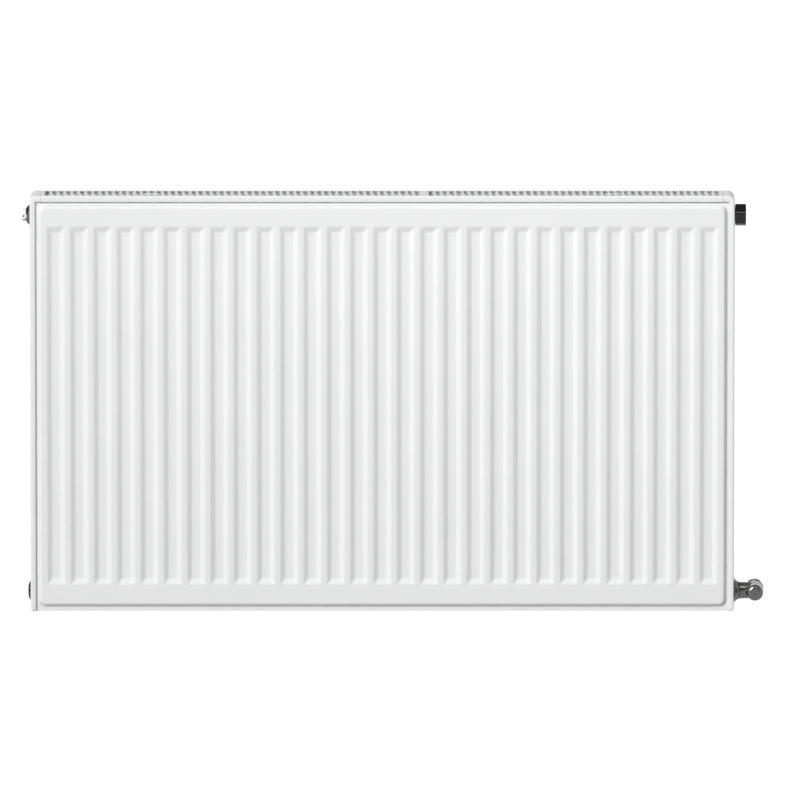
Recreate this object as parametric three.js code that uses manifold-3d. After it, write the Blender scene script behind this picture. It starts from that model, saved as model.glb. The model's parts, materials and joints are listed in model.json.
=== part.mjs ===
// A steel panel radiator, 600 x 1000 mm, type 21: two pressed water panels with one row
// of convector strips between them, a slotted top grille, two side covers, wall brackets
// and the four screwed fittings.
//
// Millimetres, +Z up. The wall is the plane Y = 0 and the front faces -Y. The origin is
// on the wall at mid-width, level with the bottom seam of the panels.
import * as THREE from 'three';
import { mergeVertices } from 'three/addons/utils/BufferGeometryUtils.js';
import Module from 'manifold-3d';

const wasm = await Module();
wasm.setup();

// ---------- driving dimensions ----------
const WIDTH = 1000; // across the welded panels
const HEIGHT = 600; // bottom seam to the top of the grille
const DEPTH = 66; // front face to rear face
const WALL_GAP = 36; // wall to rear face
const GAP = 0.3; // kept wherever two pieces touch or are welded

const REAR = -WALL_GAP; // plane of the rear face
const FRONT = REAR - DEPTH; // plane of the front face
const MIDDLE = (FRONT + REAR) / 2; // plane of the pipe connections
const SIDES = { left: -1, right: 1 };

// Pressed sheets: a flat welded rim, a sloped edge, and a raised face with recesses. The
// outer sheet's recesses are shallow, and the inner sheet's reach across to meet them.
const SHEET = 1.2;
const RELIEF = 5.3; // the face stands this far above the rim
const PANEL_HEIGHT = HEIGHT - 6;
const RIM = { side: 7.2, end: 5.5 };
const EDGE_SLOPE = 5;
const PITCH = 100 / 3;
const RECESS_COUNT = 29;
const RECESS_WIDTH = 24.8;
const RECESS_SLOPE = 6;
const RECESS_END_SLOPE = 7.8;
const RECESS_Z = [39.5, 555.4];
const RECESS_DEPTH = { outer: 3.2, inner: 2 * RELIEF - 3.2 };

const FRONT_SEAM = FRONT + RELIEF + SHEET; // back of the front panel's outer rim
const REAR_SEAM = REAR - RELIEF - SHEET;
const INNER_FACE = { // the faces that look at each other across the air gap
  front: FRONT + 2 * (RELIEF + SHEET) + GAP,
  rear: REAR - 2 * (RELIEF + SHEET) - GAP,
};

// Convector: corrugated strips, clear of the front panel by the clearance
const FIN = { sheet: 0.6, base: 9, spread: 21.3, clearance: 2, bottom: 50, top: 545 };
const CHANNELS_PER_STRIP = 4;

// Corner tees
const PORT_Z = { bottom: 26, top: 569 };
const TEE_X = 472;
const TEE_FACE = 502;
const TEE_RADIUS = 14.5;
const WATER_RADIUS = 9;
const THREAD_RADIUS = 10.5; // G1/2, plain here
const THREAD_DEPTH = 14;
const SEAL_SEAT = { radius: 12.3, depth: 2.3 };

// Side covers and grille share one thin painted sheet.
const COVER_SHEET = 1;
const COVER_X = 503.5;
const COVER_SETBACK = 2; // behind the front and rear faces
const COVER_LIP = 7.5;
const COVER_TAB = 15.5;
const COVER_CORNER = 9;
const COVER_FOOT = 2.5; // radius of the lip's lowest corner
const LIP_DROP = 9;
const BOSS = { foot: 23, shoulder: 17.5, hole: 13.2, rise: 0.6 };
const LIP_FRONT = FRONT + COVER_SETBACK;
const LIP_REAR = REAR - COVER_SETBACK;

const SLOT_COUNT = 97;
const SLOT_PITCH = 9.97;
const SLOT_WIDTH = 6.6;
const SLOT_LENGTH = 54;
const BLANK_SLOT = 54; // left solid, where the two strokes of the press meet
const CLIP = { x: 330, width: 22, sheet: 0.8, bow: 0.8, shoulder: 2, waist: 4.5, height: 7 };

// Lugs and wall brackets
const LUG_X = 11 * PITCH;
const LUG_Z = { bottom: 60, top: 508 };
const LUG = { sheet: 2, foot: 4.2, arch: 14.5, standoff: 9, height: 26 };
const BRACKET = { width: 34, sheet: 2.5, flange: 13, bottom: 24, top: 556 };
const ARM = { width: 18, sheet: 3, tongue: 16, tongueY: -33, web: 26 };
const SLOT_HOLE = { radius: 4.5, half: 8 };
const BRACKET_HOLES = [90, 300, 470];

// Sides of the polygons that stand for round pieces
const SMOOTH = 16;
const SMOOTHER = 20;
const COARSE = 10;

// ---------- helpers ----------
const AXIS = {
  X: new THREE.Vector3(1, 0, 0),
  Y: new THREE.Vector3(0, 1, 0),
  Z: new THREE.Vector3(0, 0, 1),
};
const basis = (a, b, c) => new THREE.Matrix4().makeBasis(AXIS[a], AXIS[b], AXIS[c]);
const EXTRUDE_ALONG = { X: basis('Y', 'Z', 'X'), Y: basis('X', 'Z', 'Y'), Z: basis('X', 'Y', 'Z') };
const TURN_ABOUT = { X: basis('Y', 'X', 'Z'), Y: basis('X', 'Y', 'Z') };

// A closed solid from any closed geometry, with its faces turned outwards.
function solid(geometry) {
  geometry.deleteAttribute('normal');
  geometry.deleteAttribute('uv');
  const merged = mergeVertices(geometry, 1e-4);
  const points = merged.attributes.position.array;
  const index = merged.index.array;
  const corner = (i) => new THREE.Vector3().fromArray(points, 3 * index[i]);
  const triangles = [];
  let volume = 0;
  for (let i = 0; i < index.length; i += 3) {
    const [a, b, c] = [index[i], index[i + 1], index[i + 2]];
    if (a === b || b === c || c === a) continue;
    triangles.push([a, b, c]);
    volume += corner(i).dot(corner(i + 1).cross(corner(i + 2)));
  }
  const ordered = volume > 0 ? triangles : triangles.map(([a, b, c]) => [a, c, b]);
  return new wasm.Manifold(new wasm.Mesh({
    numProp: 3,
    vertProperties: Float32Array.from(points),
    triVerts: Uint32Array.from(ordered.flat()),
  }));
}

function block(x, y, z) {
  const box = new THREE.BoxGeometry(Math.abs(x[1] - x[0]), Math.abs(y[1] - y[0]), Math.abs(z[1] - z[0]));
  box.translate((x[0] + x[1]) / 2, (y[0] + y[1]) / 2, (z[0] + z[1]) / 2);
  return solid(box);
}

// A block that narrows by the given insets between two planes of Y.
function taperedBlock(x, z, wideY, narrowY, insetX, insetZ) {
  const box = new THREE.BoxGeometry(1, 1, 1);
  const place = box.attributes.position;
  for (let i = 0; i < place.count; i += 1) {
    const narrow = place.getY(i) > 0 ? 1 : 0;
    const px = place.getX(i) < 0 ? x[0] + narrow * insetX : x[1] - narrow * insetX;
    const pz = place.getZ(i) < 0 ? z[0] + narrow * insetZ : z[1] - narrow * insetZ;
    place.setXYZ(i, px, narrow ? narrowY : wideY, pz);
  }
  return solid(box);
}

// An outline drawn in the two other axes, in X, Y, Z order, pushed along one axis.
function extruded(outline, along, from, to) {
  const shape = new THREE.Shape(outline.map(([u, v]) => new THREE.Vector2(u, v)));
  const geometry = new THREE.ExtrudeGeometry(shape, {
    depth: to - from,
    bevelEnabled: false,
    curveSegments: 6,
  });
  geometry.translate(0, 0, from);
  geometry.applyMatrix4(EXTRUDE_ALONG[along]);
  return solid(geometry);
}

// A turned solid: profile points are [distance along the axis, radius].
function turned(profile, about, centre, segments = SMOOTH) {
  const points = profile.map(([along, radius]) => new THREE.Vector2(radius, along));
  const geometry = new THREE.LatheGeometry(points, segments);
  geometry.applyMatrix4(TURN_ABOUT[about]);
  geometry.translate(...centre);
  return solid(geometry);
}

const rod = (radius, from, to, about, centre, segments) => (
  turned([[from, 0], [from, radius], [to, radius], [to, 0]], about, centre, segments)
);

const ring = (inner, outer, from, to, about, centre, segments) => turned(
  [[from, inner], [from, outer], [to, outer], [to, inner], [from, inner]],
  about,
  centre,
  segments,
);

function hexagon(acrossFlats, turn, [u, v]) {
  const radius = acrossFlats / Math.sqrt(3);
  return Array.from({ length: 6 }, (_, i) => {
    const angle = turn + (i * Math.PI) / 3;
    return [u + radius * Math.cos(angle), v + radius * Math.sin(angle)];
  });
}

// A rounded slot outline, longer along the second axis.
function slotOutline([u, v], width, length, steps = 2) {
  const radius = width / 2;
  const reach = length / 2 - radius;
  const outline = [];
  for (const end of [1, -1]) {
    for (let i = 0; i <= steps; i += 1) {
      const angle = (Math.PI * i) / steps;
      outline.push([u + end * radius * Math.cos(angle), v + end * (reach + radius * Math.sin(angle))]);
    }
  }
  return outline;
}

// The outline of a thin strip that follows a centre line.
function strip(line, thickness) {
  const sideOf = (offset) => line.map(([u, v], i) => {
    const before = line[Math.max(i - 1, 0)];
    const after = line[Math.min(i + 1, line.length - 1)];
    const here = new THREE.Vector2(u, v);
    const into = here.clone().sub(new THREE.Vector2(...before)).normalize();
    const away = new THREE.Vector2(...after).sub(here).normalize();
    if (i === 0) into.copy(away);
    if (i === line.length - 1) away.copy(into);
    const mitre = into.clone().add(away).normalize();
    const stretch = offset / mitre.dot(into);
    return [u - mitre.y * stretch, v + mitre.x * stretch];
  });
  return [...sideOf(thickness / 2), ...sideOf(-thickness / 2).reverse()];
}

// ---------- materials ----------
const finish = (color, roughness, metalness) => (
  new THREE.MeshStandardMaterial({ color, roughness, metalness })
);
const FINISH = {
  paint: finish(0xf1f2f2, 0.38, 0),
  nickel: finish(0x8d8f91, 0.28, 1),
  darkNickel: finish(0x4a4b4d, 0.35, 1),
  brass: finish(0xb08d4a, 0.35, 1),
  zinc: finish(0xa9adb0, 0.45, 1),
  whitePlastic: finish(0xf4f4f2, 0.45, 0),
  greyPlastic: finish(0x6d7072, 0.6, 0),
  rubber: finish(0x1b1b1c, 0.8, 0),
};

const radiator = new THREE.Group();

function addNode(name, shape, material) {
  const mesh = shape.getMesh();
  const geometry = new THREE.BufferGeometry();
  geometry.setAttribute('position', new THREE.BufferAttribute(mesh.vertProperties, 3));
  geometry.setIndex(new THREE.BufferAttribute(mesh.triVerts, 1));
  geometry.computeVertexNormals();
  const node = new THREE.Mesh(geometry, material);
  node.name = name;
  radiator.add(node);
}

// ---------- water panels ----------
// Everything behind the pressed surface of one sheet. rimY is the rim's outer face and
// out is the way that the sheet bulges, +1 or -1 along Y.
function behindPressing(rimY, out, recessDepth, margin) {
  const half = WIDTH / 2;
  const backing = 10;
  const faceY = rimY + out * RELIEF;
  let shape = block(
    [-half - margin, half + margin],
    [rimY, rimY - out * backing],
    [-margin, PANEL_HEIGHT + margin],
  );
  shape = shape.add(taperedBlock(
    [RIM.side - half, half - RIM.side],
    [RIM.end, PANEL_HEIGHT - RIM.end],
    rimY,
    faceY,
    EDGE_SLOPE,
    EDGE_SLOPE,
  ));
  for (let i = 0; i < RECESS_COUNT; i += 1) {
    const centre = (i - (RECESS_COUNT - 1) / 2) * PITCH;
    shape = shape.subtract(taperedBlock(
      [centre - RECESS_WIDTH / 2, centre + RECESS_WIDTH / 2],
      RECESS_Z,
      faceY,
      faceY - out * recessDepth,
      RECESS_SLOPE,
      RECESS_END_SLOPE,
    ));
  }
  return shape;
}

function pressedSheet(rimY, out, recessDepth) {
  const margin = 1;
  return behindPressing(rimY, out, recessDepth, 0)
    .subtract(behindPressing(rimY - out * SHEET, out, recessDepth, margin));
}

// The inner sheets are pierced where the tees join them.
function piercedSheet(rimY, out) {
  let sheet = pressedSheet(rimY, out, RECESS_DEPTH.inner);
  for (const side of Object.values(SIDES)) {
    for (const z of Object.values(PORT_Z)) {
      sheet = sheet.subtract(rod(WATER_RADIUS, FRONT, REAR, 'Y', [side * TEE_X, 0, z]));
    }
  }
  return sheet;
}

function addPanels() {
  const { outer } = RECESS_DEPTH;
  addNode('front_panel_outer_sheet', pressedSheet(FRONT_SEAM - SHEET, -1, outer), FINISH.paint);
  addNode('front_panel_inner_sheet', piercedSheet(FRONT_SEAM + GAP + SHEET, 1), FINISH.paint);
  addNode('rear_panel_inner_sheet', piercedSheet(REAR_SEAM - GAP - SHEET, -1), FINISH.paint);
  addNode('rear_panel_outer_sheet', pressedSheet(REAR_SEAM + SHEET, 1, outer), FINISH.paint);
}

// ---------- convector ----------
// Corrugated strips side by side, whose bases lie on the rear panel's water channels.
function addConvector() {
  const baseY = INNER_FACE.rear - GAP - FIN.sheet / 2;
  const tipY = INNER_FACE.front + FIN.clearance + FIN.sheet / 2;
  const channels = RECESS_COUNT - 1;
  for (let first = 0; first < channels; first += CHANNELS_PER_STRIP) {
    const line = [];
    for (let i = first; i < first + CHANNELS_PER_STRIP; i += 1) {
      const x = (i - (channels - 1) / 2) * PITCH;
      line.push(
        [x - FIN.spread / 2, tipY],
        [x - FIN.base / 2, baseY],
        [x + FIN.base / 2, baseY],
        [x + FIN.spread / 2, tipY],
      );
    }
    const fins = extruded(strip(line, FIN.sheet), 'Z', FIN.bottom, FIN.top);
    addNode(`convector_strip_${first / CHANNELS_PER_STRIP + 1}`, fins, FINISH.paint);
  }
}

// ---------- corner tees ----------
function tee(side, z) {
  const across = [side * TEE_X, 0, z];
  const outward = [0, MIDDLE, z];
  const ends = [INNER_FACE.front + GAP, INNER_FACE.rear - GAP];
  const rodToFace = (radius, from, past) => (
    rod(radius, side * from, side * (TEE_FACE + past), 'X', outward)
  );
  return rod(TEE_RADIUS, ...ends, 'Y', across)
    .add(rodToFace(TEE_RADIUS, TEE_X, 0))
    .subtract(rod(WATER_RADIUS, FRONT, REAR, 'Y', across))
    .subtract(rodToFace(WATER_RADIUS, TEE_X, 1))
    .subtract(rodToFace(THREAD_RADIUS + GAP, TEE_FACE - THREAD_DEPTH - 1, 1))
    .subtract(rodToFace(SEAL_SEAT.radius, TEE_FACE - SEAL_SEAT.depth, 1));
}

function addTees() {
  for (const [level, z] of Object.entries(PORT_Z)) {
    for (const [name, side] of Object.entries(SIDES)) {
      addNode(`port_tee_${level}_${name}`, tee(side, z), FINISH.paint);
    }
  }
}

// ---------- side covers ----------
// The bent sheet seen from the front: up the side, round the corner, in along the top.
function coverSection(side) {
  const outer = [];
  const inner = [];
  const steps = 4;
  for (let i = 0; i <= steps; i += 1) {
    const angle = (Math.PI / 2) * (i / steps);
    const round = (radius) => [
      side * (COVER_X - COVER_CORNER + radius * Math.cos(angle)),
      HEIGHT - COVER_CORNER + radius * Math.sin(angle),
    ];
    outer.push(round(COVER_CORNER));
    inner.push(round(COVER_CORNER - COVER_SHEET));
  }
  const tabX = side * (COVER_X - COVER_TAB);
  return [
    [side * COVER_X, 0],
    ...outer,
    [tabX, HEIGHT],
    [tabX, HEIGHT - COVER_SHEET],
    ...inner.reverse(),
    [side * (COVER_X - COVER_SHEET), 0],
  ];
}

// The flat lip over the panel's rim, with a tab that reaches in under the grille's end.
function coverLip(side) {
  const steps = 4;
  const corner = Array.from({ length: steps + 1 }, (_, i) => {
    const angle = (Math.PI / 2) * (i / steps);
    return [
      side * (COVER_X - COVER_CORNER + COVER_CORNER * Math.cos(angle)),
      HEIGHT - COVER_CORNER + COVER_CORNER * Math.sin(angle),
    ];
  });
  return [
    [side * (COVER_X - COVER_FOOT), 0],
    [side * COVER_X, COVER_FOOT],
    ...corner,
    [side * (COVER_X - COVER_TAB), HEIGHT],
    [side * (COVER_X - COVER_TAB), HEIGHT - LIP_DROP],
    [side * (COVER_X - COVER_LIP), HEIGHT - LIP_DROP],
    [side * (COVER_X - COVER_LIP), 0],
  ];
}

// A raised boss pressed into the cover round each connection.
function coverBoss(side, z) {
  const foot = COVER_X - COVER_SHEET;
  const top = COVER_X + BOSS.rise;
  const profile = [
    [foot, BOSS.foot],
    [COVER_X, BOSS.foot],
    [top, BOSS.shoulder],
    [top, BOSS.hole],
    [top - COVER_SHEET, BOSS.hole],
    [top - COVER_SHEET, BOSS.shoulder],
    [foot, BOSS.foot],
  ].map(([along, radius]) => [side * along, radius]);
  return turned(profile, 'X', [0, MIDDLE, z], SMOOTHER);
}

function sideCover(side) {
  let cover = extruded(coverSection(side), 'Y', LIP_FRONT, LIP_REAR)
    .add(extruded(coverLip(side), 'Y', LIP_FRONT, LIP_FRONT + COVER_SHEET))
    .add(extruded(coverLip(side), 'Y', LIP_REAR - COVER_SHEET, LIP_REAR));
  const through = [side * (COVER_X - 2), side * (COVER_X + 2)];
  for (const z of Object.values(PORT_Z)) {
    const opening = BOSS.foot - COVER_SHEET;
    cover = cover
      .subtract(rod(opening, ...through, 'X', [0, MIDDLE, z], SMOOTHER))
      .add(coverBoss(side, z));
  }
  return cover;
}

function addCovers() {
  for (const [name, side] of Object.entries(SIDES)) {
    addNode(`side_cover_${name}`, sideCover(side), FINISH.paint);
  }
}

// ---------- top grille ----------
function addGrille() {
  const half = COVER_X - COVER_TAB - GAP;
  const bend = 1;
  const section = [
    [LIP_FRONT, HEIGHT - LIP_DROP],
    [LIP_FRONT, HEIGHT - bend],
    [LIP_FRONT + bend, HEIGHT],
    [LIP_REAR - bend, HEIGHT],
    [LIP_REAR, HEIGHT - bend],
    [LIP_REAR, HEIGHT - LIP_DROP],
    [LIP_REAR - COVER_SHEET, HEIGHT - LIP_DROP],
    [LIP_REAR - COVER_SHEET, HEIGHT - COVER_SHEET],
    [LIP_FRONT + COVER_SHEET, HEIGHT - COVER_SHEET],
    [LIP_FRONT + COVER_SHEET, HEIGHT - LIP_DROP],
  ];
  let grille = extruded(section, 'X', -half, half);
  for (let i = 0; i < SLOT_COUNT; i += 1) {
    if (i === BLANK_SLOT) continue;
    const x = (i - (SLOT_COUNT - 1) / 2) * SLOT_PITCH;
    const outline = slotOutline([x, MIDDLE], SLOT_WIDTH, SLOT_LENGTH);
    grille = grille.subtract(extruded(outline, 'Z', HEIGHT - LIP_DROP, HEIGHT + 1));
  }
  addNode('top_grille', grille, FINISH.paint);
}

// Sprung clips under the grille that grip the panels' top rims.
function addGrilleClips() {
  const rims = { front: FRONT_SEAM - SHEET, rear: REAR_SEAM + SHEET };
  for (const [face, rimY] of Object.entries(rims)) {
    const out = face === 'front' ? -1 : 1;
    const near = rimY + out * (GAP + CLIP.sheet / 2);
    const bowed = near + out * CLIP.bow;
    const top = HEIGHT - COVER_SHEET - GAP;
    const line = [
      [bowed, top],
      [bowed, top - CLIP.shoulder],
      [near, top - CLIP.waist],
      [bowed, top - CLIP.height],
    ];
    for (const [name, side] of Object.entries(SIDES)) {
      const x = side * CLIP.x;
      const clip = extruded(strip(line, CLIP.sheet), 'X', x - CLIP.width / 2, x + CLIP.width / 2);
      addNode(`grille_clip_${face}_${name}`, clip, FINISH.zinc);
    }
  }
}

// ---------- lugs, brackets ----------
// A strip bent into an arch, welded to two water channels on the back of the radiator.
function lug(x, z) {
  const footY = REAR + GAP + LUG.sheet / 2;
  const archY = footY + LUG.standoff;
  const right = [
    [LUG.arch - 2, archY],
    [LUG.arch, footY],
    [PITCH / 2 + LUG.foot, footY],
  ];
  const left = right.map(([u, v]) => [-u, v]).reverse();
  const line = [...left, ...right].map(([u, v]) => [x + u, v]);
  return extruded(strip(line, LUG.sheet), 'Z', z, z + LUG.height);
}

const seatTop = (z) => z - 2 - 2 * GAP; // top of the arm that carries a lug

// A channel on the wall with two arms, each ending in an upright tongue.
function bracket(x) {
  const half = BRACKET.width / 2;
  const channel = [
    [x - half, 0],
    [x - half, -BRACKET.flange],
    [x - half + BRACKET.sheet, -BRACKET.flange],
    [x - half + BRACKET.sheet, -BRACKET.sheet],
    [x + half - BRACKET.sheet, -BRACKET.sheet],
    [x + half - BRACKET.sheet, -BRACKET.flange],
    [x + half, -BRACKET.flange],
    [x + half, 0],
  ];
  let shape = extruded(channel, 'Z', BRACKET.bottom, BRACKET.top);
  for (const z of Object.values(LUG_Z)) {
    const top = seatTop(z);
    const armX = [x - ARM.width / 2, x + ARM.width / 2];
    const tongueY = [ARM.tongueY, ARM.tongueY + ARM.sheet];
    const web = [[-1, top - 1], [ARM.tongueY + 4, top - 1], [-1, top - ARM.web]];
    shape = shape
      .add(block(armX, [ARM.tongueY, -1], [top - ARM.sheet, top]))
      .add(block(armX, tongueY, [top - ARM.sheet, top + ARM.tongue]))
      .add(extruded(web, 'X', x - ARM.sheet / 2, x + ARM.sheet / 2));
  }
  for (const z of BRACKET_HOLES) {
    const hole = slotOutline([x, z], 2 * SLOT_HOLE.radius, 2 * SLOT_HOLE.half + 2 * SLOT_HOLE.radius, 4);
    shape = shape.subtract(extruded(hole, 'Y', -BRACKET.sheet - 1, 1));
  }
  return shape;
}

// A moulded saddle on each tongue keeps the steel lug off the steel arm.
function saddle(x, z) {
  const wall = 1.6;
  const top = seatTop(z);
  const half = ARM.width / 2 + GAP;
  const rear = ARM.tongueY + ARM.sheet + GAP + wall;
  const front = ARM.tongueY - GAP - wall;
  const acrossX = [x - half - wall, x + half + wall];
  const sleeve = block(acrossX, [front, rear], [top + GAP, top + ARM.tongue + wall]);
  const foot = block(acrossX, [rear - 1, rear + 7], [top + GAP, top + GAP + 2]);
  const hollow = block(
    [x - half, x + half],
    [ARM.tongueY - GAP, ARM.tongueY + ARM.sheet + GAP],
    [top, top + ARM.tongue + GAP],
  );
  return sleeve.add(foot).subtract(hollow);
}

// Screwed over the top of each upper lug, so that the radiator can't be lifted off.
const CLAMP = { half: 8, sheet: 2.5, holeRadius: 3.5, rise: 16 };
const clampScrewZ = LUG_Z.top + LUG.height + GAP + CLAMP.rise / 2 + 1;

function clamp(x) {
  const lugTop = LUG_Z.top + LUG.height;
  const wallFace = -BRACKET.sheet - GAP;
  const reach = REAR + GAP + LUG.sheet + LUG.standoff - 6;
  const under = lugTop + GAP;
  const section = [
    [wallFace, under],
    [wallFace, under + CLAMP.rise],
    [wallFace - CLAMP.sheet, under + CLAMP.rise],
    [wallFace - CLAMP.sheet, under + CLAMP.sheet],
    [reach, under + CLAMP.sheet],
    [reach, under],
  ];
  return extruded(section, 'X', x - CLAMP.half, x + CLAMP.half)
    .subtract(rod(CLAMP.holeRadius, wallFace - CLAMP.sheet - 1, 0, 'Y', [x, 0, clampScrewZ], COARSE));
}

function clampScrew(x) {
  const seat = -BRACKET.sheet - CLAMP.sheet - 2 * GAP;
  const head = turned(
    [[seat, 0], [seat, 5], [seat - 2.2, 5], [seat - 3.4, 3.6], [seat - 3.4, 0]],
    'Y',
    [x, 0, clampScrewZ],
    COARSE,
  );
  const socket = extruded(hexagon(3, 0, [x, clampScrewZ]), 'Y', seat - 5, seat - 1.4);
  return head.add(rod(3, seat - 0.5, -0.4, 'Y', [x, 0, clampScrewZ], COARSE)).subtract(socket);
}

function addMounting() {
  for (const [name, side] of Object.entries(SIDES)) {
    const x = side * LUG_X;
    const clampHole = rod(CLAMP.holeRadius, -BRACKET.sheet - 1, 1, 'Y', [x, 0, clampScrewZ], COARSE);
    addNode(`wall_bracket_${name}`, bracket(x).subtract(clampHole), FINISH.paint);
    addNode(`anti_lift_clamp_${name}`, clamp(x), FINISH.zinc);
    addNode(`anti_lift_screw_${name}`, clampScrew(x), FINISH.zinc);
    for (const [level, z] of Object.entries(LUG_Z)) {
      addNode(`hanging_lug_${level}_${name}`, lug(x, z), FINISH.paint);
      addNode(`bracket_saddle_${level}_${name}`, saddle(x, z), FINISH.greyPlastic);
    }
  }
}

// ---------- screwed fittings ----------
// Distances in these profiles are measured outwards from the tee's face.
const SHOULDER_END = 2.4; // the flange starts here, just outside the cover's boss
const SHOULDER_RADIUS = 12.7;
const NECK_RADIUS = 9.6;
const OUTER_END = 40; // beyond any fitting, for cutting through

const STEM = [
  [-THREAD_DEPTH, 0],
  [-THREAD_DEPTH, THREAD_RADIUS],
  [-SEAL_SEAT.depth - GAP, THREAD_RADIUS],
  [-SEAL_SEAT.depth - GAP, NECK_RADIUS],
  [GAP, NECK_RADIUS],
  [GAP, SHOULDER_RADIUS],
  [SHOULDER_END, SHOULDER_RADIUS],
];

function port(side, z) {
  const centre = [0, MIDDLE, z];
  const along = (distance) => side * (TEE_FACE + distance);
  return {
    turned: (profile, segments) => (
      turned(profile.map(([distance, radius]) => [along(distance), radius]), 'X', centre, segments)
    ),
    rod: (radius, from, to, segments) => rod(radius, along(from), along(to), 'X', centre, segments),
    ring: (inner, outer, from, to, segments) => (
      ring(inner, outer, along(from), along(to), 'X', centre, segments)
    ),
    hex: (acrossFlats, from, to, turn = 0) => {
      const ends = [along(from), along(to)].sort((a, b) => a - b);
      return extruded(hexagon(acrossFlats, turn, [MIDDLE, z]), 'X', ...ends);
    },
  };
}

const stemSeal = (place) => (
  place.ring(NECK_RADIUS + GAP, SEAL_SEAT.radius - GAP, -SEAL_SEAT.depth + GAP, 0)
);

// Air vent: a plug with a needle screw in it and a spout ring that turns on its nose.
const VENT = { flat: 26, turn: 1.77, cone: 9.6, coneEnd: 7.4, boss: 6.5, bossEnd: 11.6 };
const NOZZLE = { from: 7.7, end: 13, radius: 8.9, mouth: 4.6, chamfer: 0.9 };
const NEEDLE = { seat: -2, air: 1.6, tip: 1.2, radius: 3.7, shoulder: 11.3, key: 2.5 };
const SPOUT = { centre: 10.2, neck: 2.4, head: 4.3, headFrom: 13.6, reach: 17.5, bore: 1.2 };
const SPOUT_AT = [-TEE_FACE - SPOUT.centre, 0, PORT_Z.top];

function addVent() {
  const place = port(SIDES.left, PORT_Z.top);
  const collarEnd = SHOULDER_END + 0.8;
  const flange = place.turned([
    [SHOULDER_END - 0.5, 0], [SHOULDER_END - 0.5, SHOULDER_RADIUS], [SHOULDER_END, SHOULDER_RADIUS],
    [SHOULDER_END, 15], [collarEnd, 15], [VENT.coneEnd, VENT.cone], [VENT.coneEnd, VENT.boss],
    [VENT.bossEnd, VENT.boss], [VENT.bossEnd, 0],
  ]);
  const body = place.turned([...STEM, [SHOULDER_END, 0]])
    .add(flange.intersect(place.hex(VENT.flat, 0, OUTER_END, VENT.turn)))
    .subtract(place.rod(NEEDLE.radius + GAP, NEEDLE.seat, OUTER_END))
    .subtract(place.rod(NEEDLE.air, -OUTER_END, 0, COARSE))
    .subtract(rod(SPOUT.bore, MIDDLE - NOZZLE.radius, MIDDLE + NOZZLE.radius, 'Y', SPOUT_AT, COARSE));
  addNode('vent_plug_body', body, FINISH.nickel);
  addNode('vent_plug_seal', stemSeal(place), FINISH.rubber);
  addNode('vent_nozzle', ventNozzle(place), FINISH.whitePlastic);
  addNode('bleed_screw', bleedScrew(place), FINISH.brass);
}

// A cup that turns on the plug's boss, with a flared spout on its side.
function ventNozzle(place) {
  const { from, end, radius, mouth, chamfer } = NOZZLE;
  const fit = VENT.boss + GAP;
  const floor = VENT.bossEnd + GAP;
  const cup = place.turned([
    [from, fit], [from, radius - chamfer], [from + chamfer, radius], [end - chamfer, radius],
    [end, radius - chamfer], [end, mouth], [floor, mouth], [floor, fit], [from, fit],
  ]);
  const tip = MIDDLE - SPOUT.reach;
  const neck = rod(SPOUT.neck, tip, MIDDLE - fit - 1, 'Y', SPOUT_AT, COARSE);
  const head = rod(SPOUT.head, tip, MIDDLE - SPOUT.headFrom, 'Y', SPOUT_AT);
  const outlet = rod(SPOUT.bore, tip - 1, MIDDLE - VENT.boss, 'Y', SPOUT_AT, COARSE);
  return cup.add(neck).add(head).subtract(outlet);
}

// A needle screw with a square key head, deep in the cup.
function bleedScrew(place) {
  const { seat, tip, radius, shoulder, key } = NEEDLE;
  const needle = place.turned([
    [seat - tip, 0], [seat + GAP, tip], [seat + GAP, radius], [shoulder, radius], [shoulder, 0],
  ]);
  const head = block(
    [-TEE_FACE - NOZZLE.end, -TEE_FACE - shoulder + 1],
    [MIDDLE - key, MIDDLE + key],
    [PORT_Z.top - key, PORT_Z.top + key],
  );
  return needle.add(head);
}

// Blind plug with a hexagon socket.
function addBlankingPlug() {
  const place = port(SIDES.left, PORT_Z.bottom);
  const plug = place.turned([
    ...STEM, [SHOULDER_END, 13.6], [3.2, 13.6], [4.6, 11.4], [5.6, 7.8], [5.6, 0],
  ]);
  const keySocket = place.hex(10, -4, OUTER_END);
  addNode('blanking_plug', plug.subtract(keySocket), FINISH.darkNickel);
  addNode('blanking_plug_seal', stemSeal(place), FINISH.rubber);
}

// A hollow tailpiece whose collar keeps a union nut on it.
const BORE = 7.5;

function tailpiece(place, collarFrom, collarTo, collarRadius) {
  return place.turned([
    ...STEM, [SHOULDER_END, NECK_RADIUS], [collarFrom, NECK_RADIUS], [collarFrom, collarRadius],
    [collarTo, collarRadius], [collarTo, 0],
  ]).subtract(place.rod(BORE, -OUTER_END, OUTER_END));
}

const NUT_TURN = -0.34; // radians, how far the union nut happens to be turned
const NUT = { flat: 29, from: 2.7, to: 18, floor: 8.3, bore: 12.1 };

function addUnion() {
  const place = port(SIDES.right, PORT_Z.top);
  addNode('union_tailpiece', tailpiece(place, 10, 12.5, 11.6), FINISH.nickel);
  addNode('union_tailpiece_seal', stemSeal(place), FINISH.rubber);
  const chamfer = place.turned([
    [NUT.from, 0], [NUT.from, 14.2], [NUT.from + 1.6, 16.8], [NUT.to, 16.8], [NUT.to, 0],
  ]);
  const nut = place.hex(NUT.flat, NUT.from, NUT.to, NUT_TURN)
    .intersect(chamfer)
    .subtract(place.rod(NECK_RADIUS + 0.4, 0, OUTER_END))
    .subtract(place.rod(NUT.bore, NUT.floor, OUTER_END));
  addNode('union_nut', nut, FINISH.darkNickel);
  addNode('union_gasket', place.ring(BORE, 11.6, 12.8, 14.8), FINISH.rubber);
}

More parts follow.
